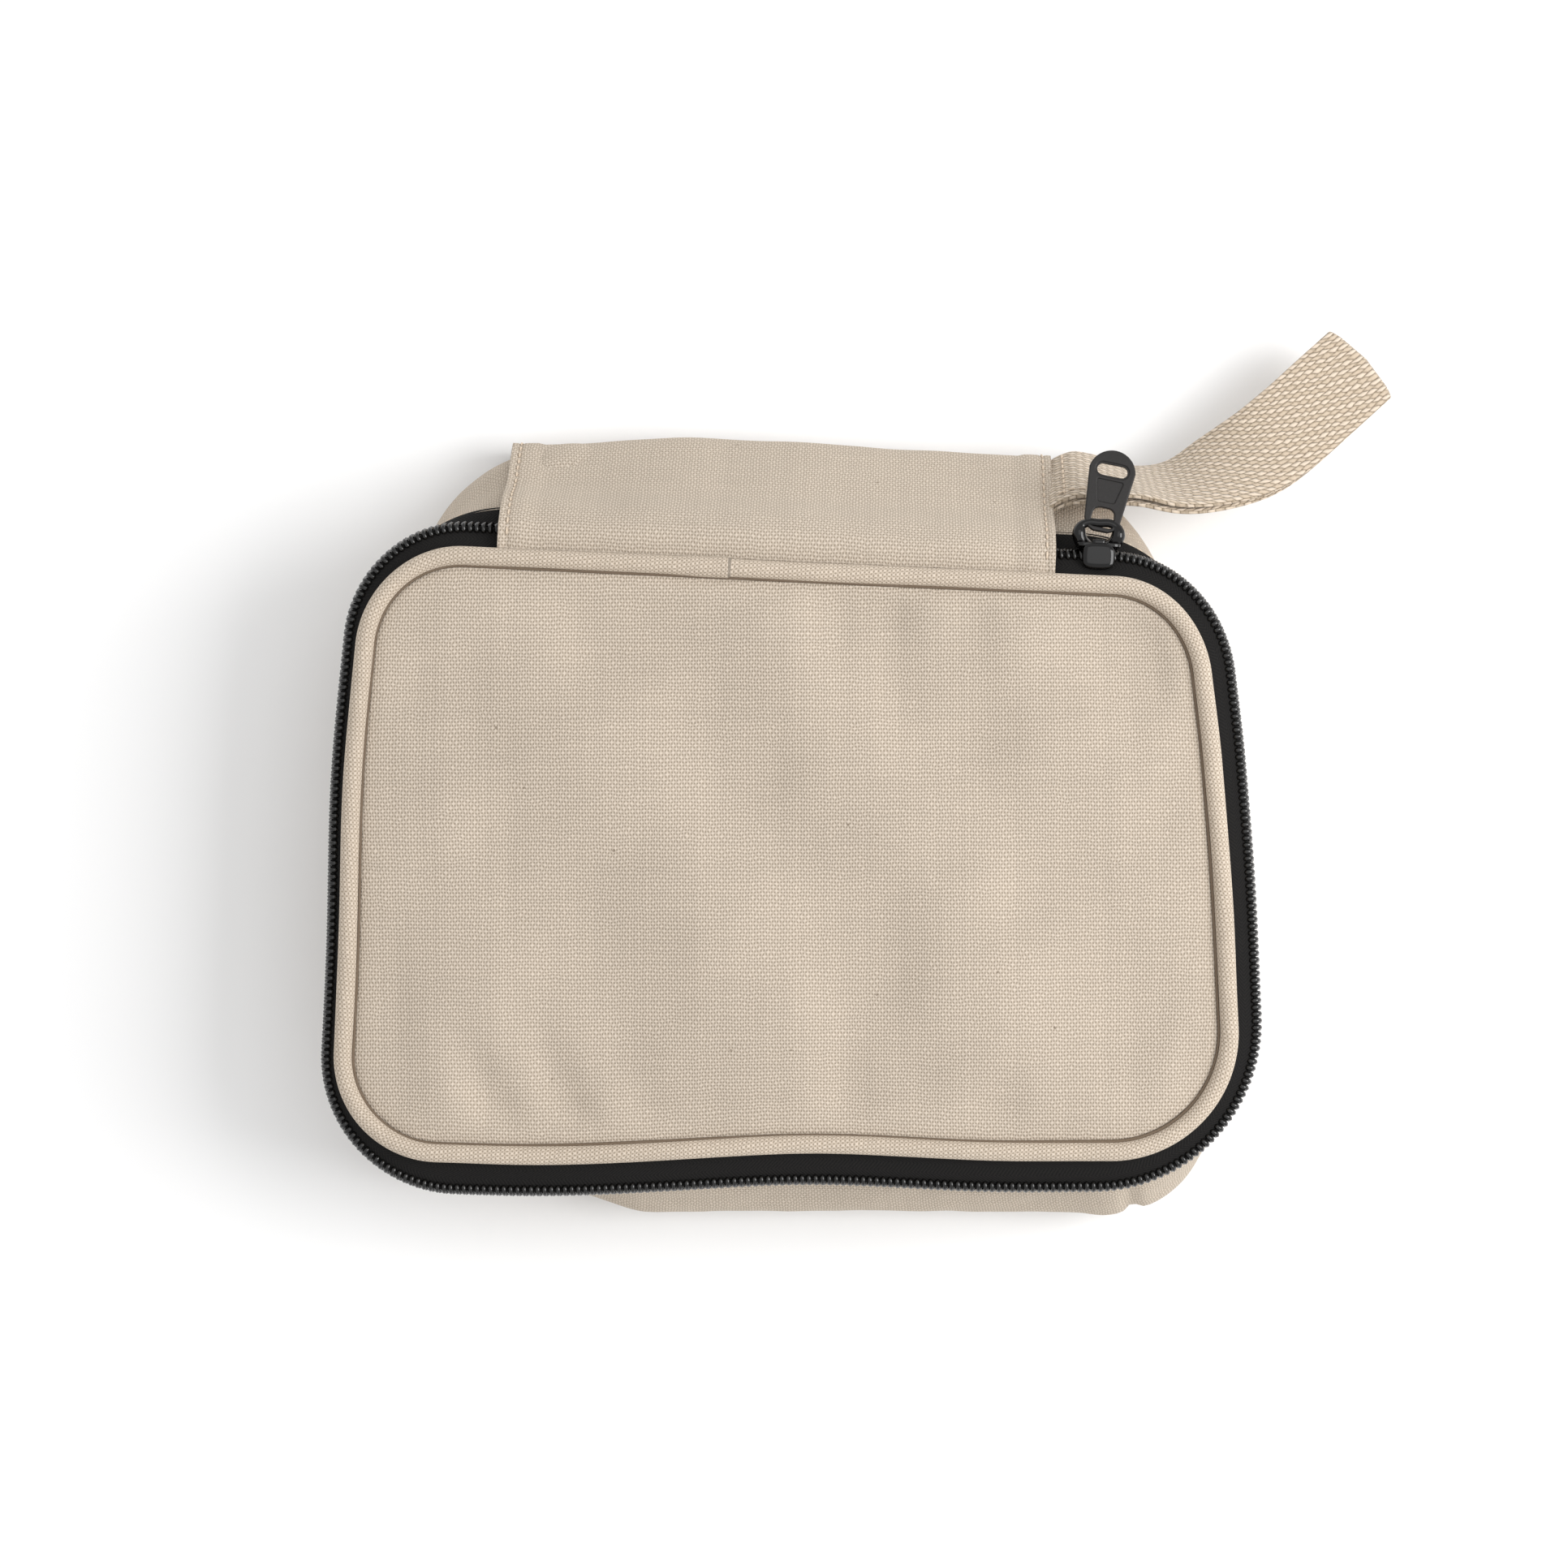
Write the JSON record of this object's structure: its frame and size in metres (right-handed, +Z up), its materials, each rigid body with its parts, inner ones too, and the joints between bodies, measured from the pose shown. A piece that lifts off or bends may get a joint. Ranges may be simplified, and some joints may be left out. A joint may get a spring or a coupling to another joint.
{
  "type": "travel pill organizer",
  "caption": "Canvas zip-around travel case for pills: piped cover on a fabric hinge, coil zip, wrist loop, and day boxes with snap lids inside.",
  "frame": {"origin": "on the face that the case rests on, under the middle of the zip's outline", "axes": "+Z up, +X along the spine towards the slider and the wrist loop, +Y towards the spine"},
  "size_m": [0.2333, 0.1938, 0.0453],
  "materials": {
    "canvas": "natural cotton canvas",
    "bias_canvas": "bias cut cotton canvas",
    "cotton_cord": "twisted cotton",
    "lining": "plain cotton lining",
    "foam": "closed cell foam",
    "zip_tape": "woven polyester tape",
    "zip_coil": "nylon coil",
    "slider_enamel": "glossy black enamel on die-cast zinc",
    "pull_enamel": "satin black enamel on die-cast zinc",
    "webbing": "cotton webbing",
    "box_plastic": "milky polypropylene",
    "lid_plastic": "tinted polypropylene",
    "rod_steel": "bright steel wire",
    "elastic": "woven elastic",
    "net": "knitted polyester net"
  },
  "bodies": {
    "base": {"base_panel": "canvas", "base_foam": "foam", "base_piping": "bias_canvas", "base_piping_cord": "cotton_cord", "side_wall": "canvas", "base_lining": "lining", "spine_band": "canvas", "zip_tape_lower": "zip_tape", "zip_coil_lower": "zip_coil", "zip_end_stops": "zip_coil", "wrist_loop_stub": "webbing", "box_strap": "elastic", "lid_hinge_rods": "rod_steel", "day_box_1": "box_plastic", "day_box_2": "box_plastic", "day_box_3": "box_plastic", "day_box_4": "box_plastic", "day_box_5": "box_plastic", "day_box_6": "box_plastic", "day_box_7": "box_plastic"},
    "cover": {"cover_panel": "canvas", "cover_foam": "foam", "cover_lining": "lining", "cover_piping": "bias_canvas", "cover_piping_cord": "cotton_cord", "zip_tape_upper": "zip_tape", "zip_coil_upper": "zip_coil", "mesh_pocket": "net", "pocket_binding": "elastic"},
    "slider": {"slider_body": "slider_enamel"},
    "pull": {"pull_tab": "pull_enamel"},
    "loop": {"wrist_loop": "webbing"},
    "morning_lid_1": {"morning_lid_1": "lid_plastic"},
    "evening_lid_1": {"evening_lid_1": "lid_plastic"},
    "morning_lid_2": {"morning_lid_2": "lid_plastic"},
    "evening_lid_2": {"evening_lid_2": "lid_plastic"},
    "morning_lid_3": {"morning_lid_3": "lid_plastic"},
    "evening_lid_3": {"evening_lid_3": "lid_plastic"},
    "morning_lid_4": {"morning_lid_4": "lid_plastic"},
    "evening_lid_4": {"evening_lid_4": "lid_plastic"},
    "morning_lid_5": {"morning_lid_5": "lid_plastic"},
    "evening_lid_5": {"evening_lid_5": "lid_plastic"},
    "morning_lid_6": {"morning_lid_6": "lid_plastic"},
    "evening_lid_6": {"evening_lid_6": "lid_plastic"},
    "morning_lid_7": {"morning_lid_7": "lid_plastic"},
    "evening_lid_7": {"evening_lid_7": "lid_plastic"}
  },
  "joints": [
    {"name": "cover_hinge", "type": "hinge", "parent": "base", "child": "cover", "pos_m": [-0.00021, 0.06441, 0.0453], "axis": [-0.999, 0.0457, 0], "range_deg": [0, 180]},
    {"name": "slider_travel", "type": "slide", "parent": "base", "child": "slider", "axis": [0.999, -0.0457, 0], "range_m": [0, 0.004]},
    {"name": "pull_flip", "type": "hinge", "parent": "slider", "child": "pull", "pos_m": [0.06593, 0.07154, 0.03855], "axis": [-0.999, 0.0457, 0], "range_deg": [-140, 0]},
    {"name": "loop_swing", "type": "hinge", "parent": "base", "child": "loop", "pos_m": [0.0763, 0.085, 0.0206], "axis": [0, 0, 1], "range_deg": [0, 50]},
    {"name": "morning_lid_1_hinge", "type": "hinge", "parent": "base", "child": "morning_lid_1", "pos_m": [-0.0756, 0.004, 0.0164], "axis": [0, -1, 0], "range_deg": [0, 90]},
    {"name": "evening_lid_1_hinge", "type": "hinge", "parent": "base", "child": "evening_lid_1", "pos_m": [-0.0756, 0.004, 0.0164], "axis": [0, -1, 0], "range_deg": [0, 90]},
    {"name": "morning_lid_2_hinge", "type": "hinge", "parent": "base", "child": "morning_lid_2", "pos_m": [-0.0538, 0.004, 0.0164], "axis": [0, -1, 0], "range_deg": [0, 90]},
    {"name": "evening_lid_2_hinge", "type": "hinge", "parent": "base", "child": "evening_lid_2", "pos_m": [-0.0538, 0.004, 0.0164], "axis": [0, -1, 0], "range_deg": [0, 90]},
    {"name": "morning_lid_3_hinge", "type": "hinge", "parent": "base", "child": "morning_lid_3", "pos_m": [-0.032, 0.004, 0.0164], "axis": [0, -1, 0], "range_deg": [0, 90]},
    {"name": "evening_lid_3_hinge", "type": "hinge", "parent": "base", "child": "evening_lid_3", "pos_m": [-0.032, 0.004, 0.0164], "axis": [0, -1, 0], "range_deg": [0, 90]},
    {"name": "morning_lid_4_hinge", "type": "hinge", "parent": "base", "child": "morning_lid_4", "pos_m": [-0.0102, 0.004, 0.0164], "axis": [0, -1, 0], "range_deg": [0, 90]},
    {"name": "evening_lid_4_hinge", "type": "hinge", "parent": "base", "child": "evening_lid_4", "pos_m": [-0.0102, 0.004, 0.0164], "axis": [0, -1, 0], "range_deg": [0, 90]},
    {"name": "morning_lid_5_hinge", "type": "hinge", "parent": "base", "child": "morning_lid_5", "pos_m": [0.0116, 0.004, 0.0164], "axis": [0, -1, 0], "range_deg": [0, 90]},
    {"name": "evening_lid_5_hinge", "type": "hinge", "parent": "base", "child": "evening_lid_5", "pos_m": [0.0116, 0.004, 0.0164], "axis": [0, -1, 0], "range_deg": [0, 90]},
    {"name": "morning_lid_6_hinge", "type": "hinge", "parent": "base", "child": "morning_lid_6", "pos_m": [0.0334, 0.004, 0.0164], "axis": [0, -1, 0], "range_deg": [0, 90]},
    {"name": "evening_lid_6_hinge", "type": "hinge", "parent": "base", "child": "evening_lid_6", "pos_m": [0.0334, 0.004, 0.0164], "axis": [0, -1, 0], "range_deg": [0, 90]},
    {"name": "morning_lid_7_hinge", "type": "hinge", "parent": "base", "child": "morning_lid_7", "pos_m": [0.0552, 0.004, 0.0164], "axis": [0, -1, 0], "range_deg": [0, 90]},
    {"name": "evening_lid_7_hinge", "type": "hinge", "parent": "base", "child": "evening_lid_7", "pos_m": [0.0552, 0.004, 0.0164], "axis": [0, -1, 0], "range_deg": [0, 90]}
  ]
}
